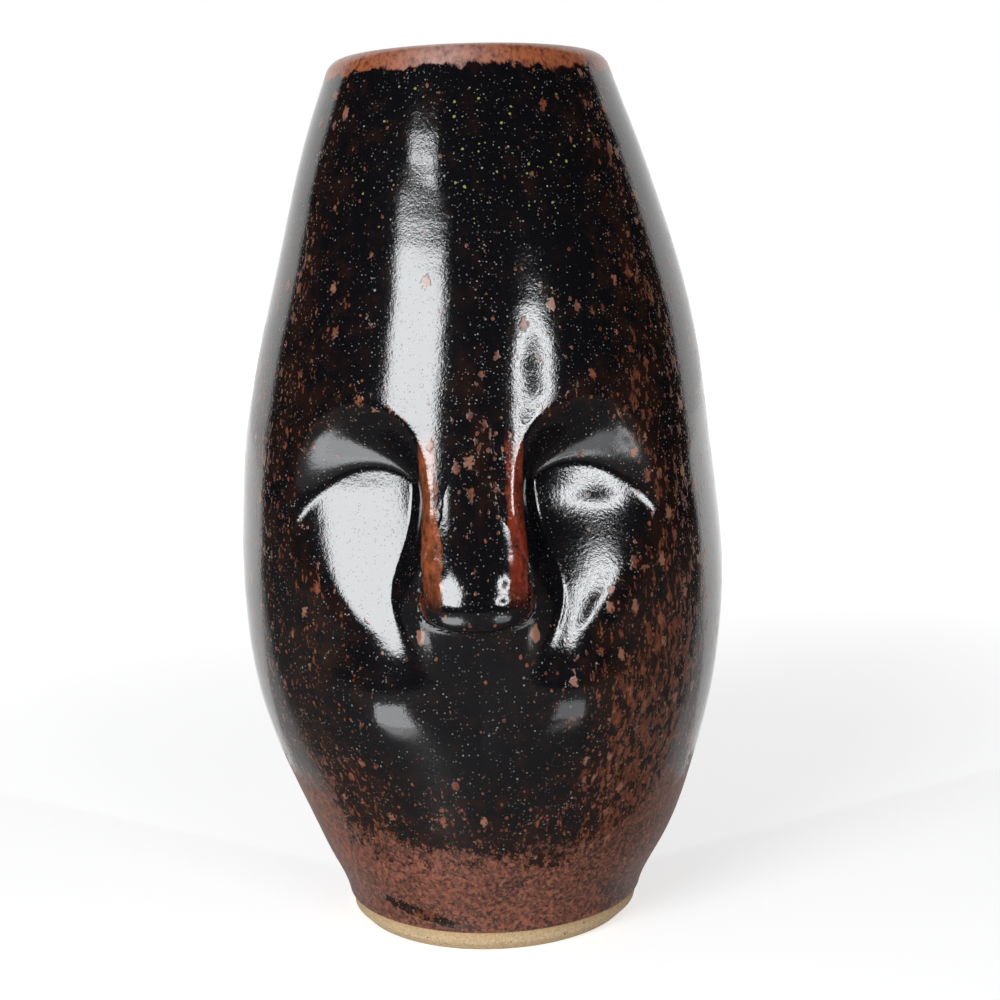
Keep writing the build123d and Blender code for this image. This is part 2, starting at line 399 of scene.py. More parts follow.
def outer_glaze_section(form, face):
    """Closed section of the outer glaze: up the outside, over the lip, and back down on the clay."""
    shoulder = form.height - form.lip_round
    lip_edge = math.degrees(math.asin(form.lip_round / (form.lip_round + form.glaze)))
    over = form.lip_round + form.glaze
    rows = arc(0.0, form.bare_foot + form.glaze, form.glaze, -90, 0, EDGE_STEPS)[:-1]
    rows += [(form.glaze, z) for z in outside_heights(form, face)]
    rows += arc(-form.lip_round, shoulder, over, 0, 90, LIP_STEPS)
    rows += arc(form.lip_round - form.wall, shoulder, over, 90, 180 - lip_edge, LIP_END_STEPS)
    rows += [(form.lip_round - form.wall, form.height)]
    rows += arc(-form.lip_round, shoulder, form.lip_round, 90, 0, EDGE_STEPS)
    rows += [(0.0, z) for z in even(shoulder, form.bare_foot, HIDDEN_STEP)[1:]]
    rows += rows[:1]
    return rows


def inside_rows(form, grow, step):
    """Rows of the inside, from the middle of the floor up to the lip's crest."""
    profile = thrown_profile(form)
    floor = form.foot_recess + form.floor_thickness
    corner_z = floor + form.floor_corner
    lip_z = form.height - form.lip_round
    corner = arc(-form.wall - form.floor_corner, corner_z, form.floor_corner - grow, -90, 0, CORNER_STEPS)
    flat_z = corner[0][1]
    flat_end = profile(flat_z) + corner[0][0]
    rows = [(radius - profile(flat_z), flat_z) for radius in even(0.0, flat_end, FLOOR_STEP)]
    rows += corner[:-1]
    rows += [(-form.wall - grow, z) for z in even(corner_z, lip_z, step)]
    return rows + arc(form.lip_round - form.wall, lip_z, form.lip_round + grow, 180, 90, LIP_STEPS)


def liner_section(form, face):
    """Closed section of the liner glaze: down on the clay, and up on the free side."""
    free = [(offset, z) for offset, z in inside_rows(form, form.glaze, LINER_STEP) if z < form.height]
    shoulder_gap = (form.lip_round + form.glaze) ** 2 - form.lip_round**2
    edge = (form.lip_round - form.wall - math.sqrt(shoulder_gap), form.height)
    return inside_rows(form, 0.0, HIDDEN_STEP) + [edge] + free[::-1]


def clay_section(form, face):
    """Closed section of the clay: inside, over the lip, down the outside and under the foot."""
    profile = thrown_profile(form)
    shoulder = form.height - form.lip_round
    ring_inside = form.foot_radius - form.foot_bevel - form.foot_ring
    glaze_edge = form.bare_foot + 2 * form.glaze
    rows = inside_rows(form, 0.0, HIDDEN_STEP)
    down = arc(-form.lip_round, shoulder, form.lip_round, 90, 0, EDGE_STEPS)
    outside = even(shoulder, glaze_edge, HIDDEN_STEP)[1:]
    outside += even(glaze_edge, form.foot_bevel, FOOT_STEP)
    bevel = even(0.0, form.foot_bevel, FOOT_STEP)[1:]
    below = [(form.foot_radius, form.foot_bevel)]
    below += [(form.foot_radius - step, form.foot_bevel - step) for step in bevel]
    below += [(radius, 0.0) for radius in even(form.foot_radius - form.foot_bevel, ring_inside, RING_STEP)]
    below += [(ring_inside - step, step) for step in even(0.0, form.foot_recess, FOOT_STEP)]
    below += [(radius, form.foot_recess) for radius in even(ring_inside - form.foot_recess, 0.0, RECESS_STEP)]
    below += [(0.0, form.foot_recess)]
    under = [(radius - profile(z), z) for radius, z in below]
    return (rows + down + [(0.0, z) for z in outside] + under)[::-1]


# Formulas as nodes

class Field:
    """A number of a node tree that a formula can use as a plain number."""

    def __init__(self, tree, socket):
        self.tree = tree
        self.socket = socket

    def math(self, operation, *others):
        return math_field(self.tree, operation, self, *others)

    def __add__(self, other):
        return self.math("ADD", other)

    def __sub__(self, other):
        return self.math("SUBTRACT", other)

    def __mul__(self, other):
        return self.math("MULTIPLY", other)

    def __truediv__(self, other):
        return self.math("DIVIDE", other)

    def __radd__(self, other):
        return self.math("ADD", other)

    def __rmul__(self, other):
        return self.math("MULTIPLY", other)

    def __rsub__(self, other):
        return math_field(self.tree, "SUBTRACT", other, self)

    def __rtruediv__(self, other):
        return math_field(self.tree, "DIVIDE", other, self)

    def within(self, low=0.0, high=1.0):
        return self.math("MAXIMUM", low).math("MINIMUM", high)

    def ramp(self, softness):
        """0 below 0 and the number itself above, rounded between."""
        return (self + (self * self + softness * softness).math("SQRT")) * 0.5

    def bell(self, spread):
        share = self / spread
        return (share * share * -0.5).math("EXPONENT")

    def rise(self, low, high):
        """0 below low, 1 above high, and a smooth S between."""
        node = self.tree.nodes.new("ShaderNodeMapRange")
        node.interpolation_type = "SMOOTHSTEP"
        link(self.tree, node.inputs["Value"], self)
        link(self.tree, node.inputs["From Min"], low)
        link(self.tree, node.inputs["From Max"], high)
        return Field(self.tree, node.outputs["Result"])


def link(tree, socket, value):
    """Gives a socket a field, another socket's output or a plain value."""
    if isinstance(value, Field):
        tree.links.new(value.socket, socket)
    elif isinstance(value, bpy.types.NodeSocket):
        tree.links.new(value, socket)
    else:
        socket.default_value = value


def math_field(tree, operation, *values):
    node = tree.nodes.new("ShaderNodeMath")
    node.operation = operation
    for socket, value in zip(node.inputs, values):
        link(tree, socket, value)
    return Field(tree, node.outputs[0])


def node_with(tree, kind, settings=None, **inputs):
    """A new node with its settings and its inputs, which are named with underscores."""
    node = tree.nodes.new(kind)
    for name, value in (settings or {}).items():
        setattr(node, name, value)
    for name, value in inputs.items():
        link(tree, node.inputs[name.replace("_", " ")], value)
    return node


def pressed_relief(size, side, z):
    """How far the pressed face stands out of the thrown form at an arc from the centre line, what share
    of a socket's depth is there, and how far the place lies under the brow's line."""
    side = side.math("ABSOLUTE")
    inward = (size.socket_side - side) / size.socket_inner
    outward = (side - size.socket_side) / size.socket_outer
    share = inward.math("MAXIMUM", outward).within()
    brow_line = size.face_height + size.brow_rise * (1.0 - share * share).math("SQRT")
    under_brow = ((brow_line - z) / size.brow_fall).rise(0.0, 1.0)
    wide = (z - size.face_height + size.ridge_foot).bell(size.socket_yield_length) * size.socket_yield
    beside_nose = ((side - wide - size.socket_side + size.socket_inner) / size.socket_wall).rise(0.0, 1.0)
    level = (z - size.face_height + size.socket_drop) / size.socket_run
    level = level - (level - 1.0).ramp(size.socket_bowl / size.socket_run)
    reach = side / size.socket_reach
    cut = ((level - reach * reach) * size.socket_depth).ramp(size.socket_soft)
    socket = cut * under_brow * beside_nose
    ridge = (size.face_height + size.ridge_drop - z).ramp(size.ridge_soft)
    ridge = ridge * size.ridge_rise / size.ridge_length
    over_foot = (z - size.face_height + size.ridge_foot) / size.ridge_foot
    ridge = ridge * (1.0 - beside_nose) * over_foot.rise(0.0, RIDGE_FULL_SHARE)
    cheek = (side - size.cheek_side).bell(size.cheek_width)
    cheek *= (z - size.face_height + size.cheek_drop).bell(size.cheek_length)
    lip = side.bell(size.lip_width) * (z - size.face_height + size.lip_drop).bell(size.lip_length)
    relief = ridge + size.cheek_rise * cheek - socket - size.lip_depth * lip
    return relief, socket / size.socket_depth, brow_line - z


def group_input(tree, name, kind, default=None):
    """A named input of a node group."""
    socket = tree.interface.new_socket(name=name, in_out="INPUT", socket_type=kind)
    if default is not None:
        socket.default_value = default


def thrown_wall_tree(form, face):
    """The node group that turns a section into a pressed wall, and a dictionary of its input identifiers."""
    tree = bpy.data.node_groups.new("Thrown Wall", "GeometryNodeTree")
    group_input(tree, "Section", "NodeSocketGeometry")
    group_input(tree, "Columns", "NodeSocketInt", form.columns)
    group_input(tree, "Front Density", "NodeSocketFloat", form.front_density)
    for group, names in ((face, PRESSED_SIZES), (form, THROWING_SIZES)):
        for name in names:
            group_input(tree, name, "NodeSocketFloat", getattr(group, name))
    group_input(tree, "Seed", "NodeSocketInt", WAVE_SEED)
    group_input(tree, "Finish", "NodeSocketMaterial")
    tree.interface.new_socket(name="Wall", in_out="OUTPUT", socket_type="NodeSocketGeometry")
    given = tree.nodes.new("NodeGroupInput")
    size = SimpleNamespace(
        **{name: Field(tree, given.outputs[name]) for name in PRESSED_SIZES + THROWING_SIZES}
    )
    section = given.outputs["Section"]
    at_points = {"data_type": "FLOAT", "domain": "POINT"}

    count = node_with(tree, "GeometryNodeAttributeDomainSize", {"component": "MESH"}, Geometry=section)
    rows = Field(tree, count.outputs["Point Count"])
    columns = Field(tree, given.outputs["Columns"])
    grid = node_with(tree, "GeometryNodeMeshGrid", Vertices_X=columns + 1.0, Vertices_Y=rows)
    position = tree.nodes.new("GeometryNodeInputPosition").outputs[0]
    place = node_with(tree, "ShaderNodeSeparateXYZ", Vector=position)
    across = Field(tree, place.outputs["X"]) * math.tau
    row = ((Field(tree, place.outputs["Y"]) + 0.5) * (rows - 1.0)).math("ROUND")

    def of_section(name):
        """A number that the section's rows carry."""
        named = node_with(tree, "GeometryNodeInputNamedAttribute", {"data_type": "FLOAT"}, Name=name)
        value = named.outputs["Attribute"]
        sample = node_with(
            tree, "GeometryNodeSampleIndex", at_points, Geometry=section, Value=value, Index=row
        )
        return Field(tree, sample.outputs["Value"])

    reach, thrown, z, aside = (of_section(name) for name in ("reach", "thrown", "rise", "aside"))
    angle = across - Field(tree, given.outputs["Front Density"]) * across.math("SINE")
    side = angle * thrown
    relief, socket, under_brow = pressed_relief(size, side, z)

    spiral = (z / size.ring_pitch + angle / math.tau) * math.tau
    on_wall = node_with(
        tree,
        "ShaderNodeCombineXYZ",
        X=thrown * angle.math("SINE"),
        Y=thrown * angle.math("COSINE"),
        Z=z * WAVE_SQUEEZE,
    )
    waves = node_with(
        tree,
        "ShaderNodeTexNoise",
        {"noise_dimensions": "4D"},
        Vector=on_wall.outputs[0],
        W=Field(tree, given.outputs["Seed"]) * 1.0,
        Scale=1.0 / size.wave_size,
        Detail=2.0,
        Roughness=0.4,
    )
    unevenness = (Field(tree, waves.outputs[0]) - 0.5) * size.wave_depth
    calm = (z / CALM_HEIGHT).rise(0.0, 1.0) * (1.0 - socket.rise(0.0, 0.3))
    rings = spiral.math("SINE") * size.ring_depth * calm
    radius = (reach + (relief + unevenness + rings) * (reach / thrown).within()).math("MAXIMUM", 0.0)
    point = node_with(
        tree,
        "ShaderNodeCombineXYZ",
        X=aside + radius * angle.math("SINE"),
        Y=radius * angle.math("COSINE") * -1.0,
        Z=z,
    )
    shown = grid.outputs["Mesh"]
    for name, value in (("side", side), ("socket", socket), ("under_brow", under_brow)):
        stored = node_with(
            tree, "GeometryNodeStoreNamedAttribute", at_points, Geometry=shown, Name=name, Value=value
        )
        shown = stored.outputs[0]
    placed = node_with(tree, "GeometryNodeSetPosition", Geometry=shown, Position=point.outputs[0])
    joined = node_with(
        tree, "GeometryNodeMergeByDistance", Geometry=placed.outputs[0], Distance=size.seam_gap
    )
    smooth = node_with(tree, "GeometryNodeSetShadeSmooth", Geometry=joined.outputs[0])
    real = node_with(tree, "GeometryNodeRealizeInstances", Geometry=smooth.outputs[0])
    finish = node_with(
        tree, "GeometryNodeSetMaterial", Geometry=real.outputs[0], Material=given.outputs["Finish"]
    )
    tree.links.new(finish.outputs[0], tree.nodes.new("NodeGroupOutput").inputs[0])
    identifiers = {item.name: item.identifier for item in tree.interface.items_tree if item.in_out == "INPUT"}
    return tree, identifiers


def section_object(form, rows, name):
    """A mesh of loose points, one for each row of a section, that carries the row's sizes."""
    profile = thrown_profile(form)
    mesh = bpy.data.meshes.new(name)
    mesh.from_pydata([(profile(z) + offset, 0.0, z) for offset, z in rows], [], [])
    values = {
        "reach": [profile(z) + offset for offset, z in rows],
        "thrown": [profile(z) for offset, z in rows],
        "rise": [z for offset, z in rows],
        "aside": [lean(form, z) for offset, z in rows],
    }
    for key, numbers in values.items():
        mesh.attributes.new(key, "FLOAT", "POINT").data.foreach_set("value", numbers)
    return add_object(name, mesh)


def plain_mesh(piece, name):
    """Gives the piece its evaluated shape as a plain mesh, in place of its own."""
    graph = bpy.context.evaluated_depsgraph_get()
    mesh = bpy.data.meshes.new_from_object(piece.evaluated_get(graph), depsgraph=graph)
    mesh.name = name
    old = piece.data
    piece.modifiers.clear()
    piece.data = mesh
    bpy.data.meshes.remove(old)


def throw_piece(name, section, finish):
    """One thrown piece: its section, turned and pressed by the node group, as a plain mesh."""
    form, face = bpy.context.scene.vase_form, bpy.context.scene.vase_face
    piece = section_object(form, section(form, face), name)
    tree, inputs = thrown_wall_tree(form, face)
    modifier = piece.modifiers.new("Thrown Wall", "NODES")
    modifier.node_group = tree
    modifier[inputs["Finish"]] = finish
    plain_mesh(piece, name)
    piece.data.materials.clear()
    piece.data.materials.append(finish)
    return piece


def ride_and_slot(piece, slot, *nodes):
    """Puts a piece in the frame's one body, and hides the solids that it takes the place of."""
    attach(piece, "root")
    if nodes:
        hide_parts(*nodes)


# Nose

def nose_sizes(face, nose):
    """Heights that the nose's formulas share."""
    low = face.face_height - nose.drop
    return SimpleNamespace(low=low, widest=low + nose.end, fade=face.face_height + face.ridge_drop)


def nose_half(nose, at, z):
    """Half the nose's width at a height."""
    below = min(max((at.widest - z) / nose.end, 0.0), 1.0)
    above = min(max((z - at.widest) / nose.flare, 0.0), 1.0)
    half = nose.bridge_half + (nose.tip_half - nose.bridge_half) * math.cos(math.pi / 2 * above) ** 2
    return half * (1 - below**nose.end_power) ** (1 / nose.end_power)


def nose_rise(face, nose, at, z):
    """How far the nose's ridge stands out of the thrown form at a height."""
    ridge = face.ridge_rise * ramp(at.fade - z, face.ridge_soft) / face.ridge_length
    ridge += nose.proud * smooth_step((at.fade - z) / nose.flare) - nose.sink
    ball = nose.ball_rise * hump(z - face.face_height + nose.ball_drop, nose.ball_length)
    below = min(max((at.widest - z) / nose.end, 0.0), 1.0)
    return (ridge + ball) * (1 - below**nose.tip_power) ** (1 / nose.tip_power)


def smooth_step(share):
    """0 to 1 along a smooth S."""
    share = min(max(share, 0.0), 1.0)
    return share * share * (3 - 2 * share)


def ramp(value, softness):
    """0 below 0 and the value itself above, rounded between."""
    return (value + math.hypot(value, softness)) / 2


def nose_crown(nose, at, z):
    """Curvature across the ridge at a height."""
    flat = smooth_step((z - at.widest - nose.crown_start) / nose.crown_run)
    return 1 / nose.tip_crown + (1 / nose.bridge_crown - 1 / nose.tip_crown) * flat


def nose_outline(nose, side_steps, top_steps, corner_share):
    """Shares of the nose's half width and reach round the outer half of its squared section."""
    square = nose.side_power
    corner = (1 - corner_share**square) ** (1 / square)
    quarter = []
    for i in range(side_steps):
        out = corner * i / side_steps
        quarter.append(((1 - out**square) ** (1 / square), out))
    for i in range(top_steps + 1):
        across = corner_share * (1 - i / top_steps)
        quarter.append((across, (1 - across**square) ** (1 / square)))
    return quarter + [(-across, out) for across, out in quarter[-2::-1]]


def nose_grid(form, face, nose):
    """Rows of points over the nose's glaze, from its lower end up into the forehead, with how far
    each point is from the nose's side."""
    profile = thrown_profile(form)
    at = nose_sizes(face, nose)
    grow = form.glaze
    levels = []
    for i in range(1, NOSE_END_ROWS):
        depth = math.cos(math.pi / 2 * i / NOSE_END_ROWS)
        levels.append((at.widest - depth * nose.end, at.widest - depth * (nose.end + grow)))
    levels += [(z, z) for z in even(at.widest, at.fade, NOSE_STEP)]
    outline = nose_outline(nose, NOSE_SIDE_COLUMNS, NOSE_TOP_COLUMNS, NOSE_CORNER_SHARE)
    rows = []
    for level, z in levels:
        half = nose_half(nose, at, level) + grow
        centre = profile(level) - nose.root
        reach = nose.root + nose_rise(face, nose, at, level) + grow
        crown = nose_crown(nose, at, level)
        row = []
        for across_share, out_share in outline:
            across = half * across_share
            out = reach * out_share - across**2 * crown / 2
            row.append(((lean(form, level) + across, -(centre + out), z), half * (1 - abs(across_share))))
        rows.append(row)
    return rows


def nose_mesh(form, face, nose):
    """A closed mesh of the nose's glaze, whose back lies inside the wall."""
    rows = nose_grid(form, face, nose)
    shape = bmesh.new()
    edge_layer = shape.verts.layers.float.new("nose_edge")
    nose_layer = shape.verts.layers.float.new("on_nose")
    side_layer = shape.verts.layers.float.new("side")
    made = []
    for row in rows:
        ring = []
        for place, edge in row:
            vert = shape.verts.new(place)
            vert[edge_layer] = edge
            vert[nose_layer] = 1.0
            vert[side_layer] = place[0]
            ring.append(vert)
        made.append(ring)
    for low, high in zip(made, made[1:]):
        for i in range(len(low)):
            j = (i + 1) % len(low)
            shape.faces.new((low[i], low[j], high[j], high[i]))
    for ring, turn in ((made[0], 1), (made[-1], -1)):
        middle = sum((vert.co for vert in ring), Vector()) / len(ring)
        hub = shape.verts.new(middle)
        for i in range(len(ring)):
            pair = (ring[i], ring[(i + 1) % len(ring)])[::turn]
            shape.faces.new((hub, pair[1], pair[0]))
    bmesh.ops.recalc_face_normals(shape, faces=shape.faces)
    for face_of in shape.faces:
        face_of.smooth = True
    mesh = bpy.data.meshes.new("nose_glaze")
    shape.to_mesh(mesh)
    shape.free()
    return mesh


def pool_glaze(skin, nose_shape, nose, at):
    """Raises the skin's glaze in the crease along the nose, where it pools."""
    shape = bmesh.new()
    shape.from_mesh(nose_shape)
    tree = BVHTree.FromBMesh(shape)
    shape.free()
    low = [min(vert.co[i] for vert in nose_shape.vertices) - POOL_REACH for i in range(3)]
    high = [max(vert.co[i] for vert in nose_shape.vertices) + POOL_REACH for i in range(3)]
    for vert in skin.vertices:
        if any(not low[i] < vert.co[i] < high[i] for i in range(3)):
            continue
        spot, normal, _, distance = tree.find_nearest(vert.co, POOL_REACH)
        if spot is None or (vert.co - spot).dot(normal) < 0.0:
            continue
        radius = nose.pool * (1 - smooth_step((vert.co.z - at.widest) / nose.flare))
        if distance < radius:
            flat = vert.co.xy.normalized()
            vert.co += Vector((flat.x, flat.y, 0.0)) * ((radius - distance) ** 2 / (2 * radius))


def join_pieces(piece, other):
    """Joins the other piece into the first, with the numbers that both carry."""
    with bpy.context.temp_override(active_object=piece, selected_editable_objects=[piece, other]):
        bpy.ops.object.join()


# Finishes

def new_material(name):
    """A new material with one shader, its tree and the shader."""
    material = bpy.data.materials.new(name)
    material.use_nodes = True
    tree = material.node_tree
    return material, tree, tree.nodes["Principled BSDF"]


def mix_colour(tree, share, first, second):
    """A colour that goes from first to second as the share goes from 0 to 1."""
    node = tree.nodes.new("ShaderNodeMix")
    node.data_type = "RGBA"
    link(tree, node.inputs["Factor"], share)
    for socket, value in ((node.inputs[6], first), (node.inputs[7], second)):
        if isinstance(value, bpy.types.NodeSocket):
            tree.links.new(value, socket)
        else:
            socket.default_value = (*value, 1.0)
    return node.outputs[2]


def object_place(tree, stretch=1.0, scale=MILLIMETRES):
    """Object coordinates in millimetres; a stretch under 1 draws a pattern out up and down."""
    coordinates = tree.nodes.new("ShaderNodeTexCoord")
    node = node_with(tree, "ShaderNodeMapping", Vector=coordinates.outputs["Object"])
    node.inputs["Scale"].default_value = (scale, scale, scale * stretch)
    return node.outputs[0]


def place_axis(tree, axis):
    """One of the object coordinates, in millimetres."""
    split = node_with(tree, "ShaderNodeSeparateXYZ", Vector=object_place(tree))
    return Field(tree, split.outputs[axis])


def noise(tree, size, stretch=1.0, detail=2.0, roughness=0.5, shift=0.0):
    """Soft noise whose blobs are about size millimetres wide."""
    node = node_with(
        tree,
        "ShaderNodeTexNoise",
        {"noise_dimensions": "4D"},
        Vector=object_place(tree, stretch),
        W=shift,
        Scale=1.0 / size,
        Detail=detail,
        Roughness=roughness,
    )
    return Field(tree, node.outputs[0])


def scatter(tree, size, share, radii, stretch=1.0, wobble=0.0, wobble_size=1.0, soft=0.07):
    """Scattered dots in cells of size millimetres: how much of a dot is here, and its random tint. The
    share is how many cells hold a dot, and radii are its smallest and largest radius in cells."""
    vector = object_place(tree, stretch)
    if wobble:
        place = object_place(tree)
        bend = node_with(tree, "ShaderNodeTexNoise", Vector=place, Scale=1.0 / wobble_size, Detail=2.0)
        centred = node_with(tree, "ShaderNodeVectorMath", {"operation": "SUBTRACT"})
        link(tree, centred.inputs[0], bend.outputs["Color"])
        centred.inputs[1].default_value = (0.5, 0.5, 0.5)
        scaled = node_with(tree, "ShaderNodeVectorMath", {"operation": "SCALE"}, Scale=wobble)
        link(tree, scaled.inputs[0], centred.outputs[0])
        moved = node_with(tree, "ShaderNodeVectorMath", {"operation": "ADD"})
        link(tree, moved.inputs[0], vector)
        link(tree, moved.inputs[1], scaled.outputs[0])
        vector = moved.outputs[0]
    cells = node_with(tree, "ShaderNodeTexVoronoi", Vector=vector, Scale=1.0 / size)
    split = node_with(tree, "ShaderNodeSeparateColor", Color=cells.outputs["Color"])
    lottery, tint, spread = (Field(tree, split.outputs[i]) for i in range(3))
    chosen = (lottery + share - 1.0).rise(0.0, 0.02)
    radius = radii[0] + (radii[1] - radii[0]) * spread
    return (radius - Field(tree, cells.outputs["Distance"])).rise(0.0, soft) * chosen, tint


def mesh_number(tree, name):
    """A number that the mesh carries at its points."""
    node = tree.nodes.new("ShaderNodeAttribute")
    node.attribute_name = name
    return Field(tree, node.outputs["Fac"])


def bump(tree, height, distance):
    """A bumped normal; the height is a share of the distance in metres."""
    return node_with(tree, "ShaderNodeBump", Height=height, Distance=distance, Strength=1.0).outputs[0]


def patch(side, z, place):
    """How much a soft patch covers at an arc and a height."""
    arc_centre, arc_spread, height_centre, height_spread = place
    return (side - arc_centre).bell(arc_spread) * (z - height_centre).bell(height_spread)


def dark_glaze_material(colours, form):
    """Near-black iron glaze that breaks to rust on edges, with specks and flecks, rust-red at the foot."""
    material, tree, shader = new_material("dark_iron_glaze")
    z = place_axis(tree, "Z")
    side = mesh_number(tree, "side") * MILLIMETRES
    away = side.math("ABSOLUTE")
    socket = mesh_number(tree, "socket")
    under_brow = mesh_number(tree, "under_brow") * MILLIMETRES
    on_nose = mesh_number(tree, "on_nose")
    nose_edge = mesh_number(tree, "nose_edge") * MILLIMETRES
    top = form.height * MILLIMETRES
    patchy = noise(tree, 13.0, stretch=0.7, shift=3.0)
    fine = noise(tree, 1.3, stretch=0.6, detail=3.0, roughness=0.65, shift=9.0)
    grain = noise(tree, 0.42, detail=2.0, roughness=0.6, shift=5.0)

    # Where the glaze is thin and breaks: the flanks, the right cheek, the brows and towards the foot
    flanks = away.rise(20.0, 50.0) * 0.40
    cheek = patch(side, z, RUSTY_CHEEK) * 0.78
    low = (1.0 - (z - away * 0.12).rise(24.0, 64.0)) * 0.62
    bridge = patch(side, z, RUSTY_BRIDGE) * 0.45
    brows = under_brow.bell(2.0) * away.rise(14.0, 20.0) * (1.0 - away.rise(34.0, 44.0))
    brows = brows * (1.0 - on_nose) * 0.35
    calm = 1.0 - socket.rise(0.02, 0.2) * 0.85
    thin = 0.085 + flanks + cheek + low + brows + bridge
    thin = (thin * (patchy * 2.6 - 0.35).within(0.1, 1.6) * calm).within()

    # Flecks of rust, the larger ones drawn out downwards by the melt
    flecks, tint = scatter(
        tree, 3.4, thin * 0.9, (0.13, 0.42), stretch=0.62, wobble=2.2, wobble_size=0.9, soft=0.13
    )
    dots, dot_tint = scatter(
        tree, 1.5, thin * 1.25, (0.14, 0.36), stretch=0.75, wobble=0.7, wobble_size=0.6
    )
    streak_noise = noise(tree, 1.9, stretch=0.4, detail=4.0, roughness=0.72, shift=2.0)
    streaks = (streak_noise + thin * 0.19 - 0.67).rise(0.0, 0.06) * thin.rise(0.1, 0.3)

    # The foot's rust, ragged above, with black streaks that run down to the right
    foot_break = noise(tree, 1.5, stretch=0.8, detail=4.0, roughness=0.75, shift=7.0)
    foot_edge = 32.0 + (patchy - 0.5) * 34.0 + away.rise(30.0, 62.0) * 16.0
    foot = 1.0 - (z + (foot_break - 0.5) * 40.0 - foot_edge).rise(-3.5, 3.5)
    left_streak = (z - 13.0 + (side + 28.0) * 0.24).bell(1.5) * (side + 21.0).bell(11.0)
    right_streak = patch(side, z, RIGHT_STREAK)
    bare_black = (foot_break * 1.5 + left_streak * 1.2 + right_streak * 0.8 - 1.28).rise(0.0, 0.12)
    foot *= 1.0 - bare_black

    # The thin glaze on the lip, ragged below
    ragged = noise(tree, 3.2, stretch=0.4, detail=4.0, roughness=0.55, shift=4.0)
    lip = (z - top + 5.0 + (ragged - 0.5) * 8.0).rise(-0.5, 0.5)

    # The edges of the nose and of the bridge, and a drip at each end of the nose
    nose_noise = noise(tree, 1.5, stretch=0.5, detail=3.0, roughness=0.6, shift=8.0)
    on_edge = (1.0 - (nose_edge + (nose_noise - 0.5) * 4.5).rise(1.0, 2.3)) * on_nose * z.rise(97.0, 101.0)
    bridge_edge = (away - 10.6 + (nose_noise - 0.5) * 2.6).bell(2.1).rise(0.45, 0.65)
    bridge_edge = bridge_edge * (1.0 - z.rise(137.0, 146.0)) * z.rise(100.0, 108.0)
    drips = (patch(away, z, NOSE_DRIP) + (nose_noise - 0.5) * 1.3).rise(0.62, 0.8)
    nose_rust = on_edge.math("MAXIMUM", bridge_edge)

    # Fine pale specks
    speck_share = (noise(tree, 7.0, detail=3.0, shift=15.0) * 2.4 - 0.65).within(0.12, 0.95)
    specks, speck_tint = scatter(tree, 0.8, speck_share, (0.12, 0.30), soft=0.06)
    grains, grain_tint = scatter(tree, 2.3, 0.30, (0.08, 0.16), wobble=0.3, wobble_size=0.5, soft=0.03)
    green_share = patch(side, z, GREEN_SHOULDER) * 0.55
    green, _ = scatter(tree, 2.0, green_share, (0.10, 0.22), wobble=0.5, wobble_size=0.6, soft=0.03)

    warm = (noise(tree, 5.0, shift=1.0) + thin * 0.5 - 0.52).rise(0.0, 0.4)
    base = mix_colour(tree, warm, colours.glaze_black, colours.glaze_brown)
    base = mix_colour(tree, specks * (0.12 + speck_tint * speck_tint * 0.75), base, colours.speck)
    base = mix_colour(tree, grains * (0.35 + grain_tint * 0.6), base, colours.speck)
    base = mix_colour(tree, green * 0.9, base, colours.speck_green)
    red = mix_colour(tree, fine.rise(0.40, 0.62), colours.rust_red, colours.rust)
    base = mix_colour(tree, streaks * 0.8, base, red)
    dot_rust = mix_colour(tree, cheek, colours.rust, colours.rust_pink)
    dot_colour = mix_colour(tree, dot_tint.rise(0.2, 0.7), colours.rust_red, dot_rust)
    base = mix_colour(tree, dots * 0.85, base, dot_colour)
    fleck_colour = mix_colour(tree, tint.rise(0.45, 0.95), red, colours.rust_pink)
    base = mix_colour(tree, flecks * (0.65 + fine * 0.6).within(), base, fleck_colour)
    foot_colour = mix_colour(tree, fine.rise(0.35, 0.68), colours.rust_red, colours.foot_rust)
    pale_grain = (grain + foot_break - 1.0).rise(0.05, 0.3)
    foot_colour = mix_colour(tree, pale_grain * 0.5, foot_colour, colours.rust_pink)
    coarse = noise(tree, 0.8, detail=3.0, roughness=0.7, shift=14.0)
    dark_grain = (coarse + patchy * 0.3 - 0.63).rise(0.0, 0.12)
    foot_colour = mix_colour(tree, dark_grain * 0.9, foot_colour, colours.glaze_brown)
    base = mix_colour(tree, foot * 0.95, base, foot_colour)
    lip_colour = mix_colour(tree, fine.rise(0.3, 0.6), colours.rust_red, colours.rim)
    # A painted highlight: a pale pinkish place in the lip's middle
    lip_colour = mix_colour(tree, (side + 5.0).bell(8.0) * fine, lip_colour, colours.rim_highlight)
    base = mix_colour(tree, lip, base, lip_colour)
    nose_colour = mix_colour(tree, side.rise(-2.0, 2.0), colours.nose_orange, colours.nose_red)
    nose_colour = mix_colour(tree, fine.rise(0.5, 0.75) * 0.5, nose_colour, colours.rust_pink)
    base = mix_colour(tree, nose_rust * (nose_noise * 2.2 + fine - 0.95).within(0.15, 1.0), base, nose_colour)
    base = mix_colour(tree, drips * 0.9, base, colours.rust_pink)
    tree.links.new(base, shader.inputs["Base Color"])

    cover = (streaks * 0.6 + flecks + dots * 0.5 + foot + lip).within()
    rough = 0.08 + cover * 0.16 + foot * 0.2 + (grain - 0.5) * 0.06
    link(tree, shader.inputs["Roughness"], rough.within(0.05, 0.6))
    shader.inputs["IOR"].default_value = 1.8
    skin = noise(tree, 1.0, detail=2.0, roughness=0.5, shift=12.0)
    height = skin * 0.5 + grain * 0.32 + specks * 0.22 + cover * 0.5 - grains * 0.35
    tree.links.new(bump(tree, height, 0.00005), shader.inputs["Normal"])
    return material


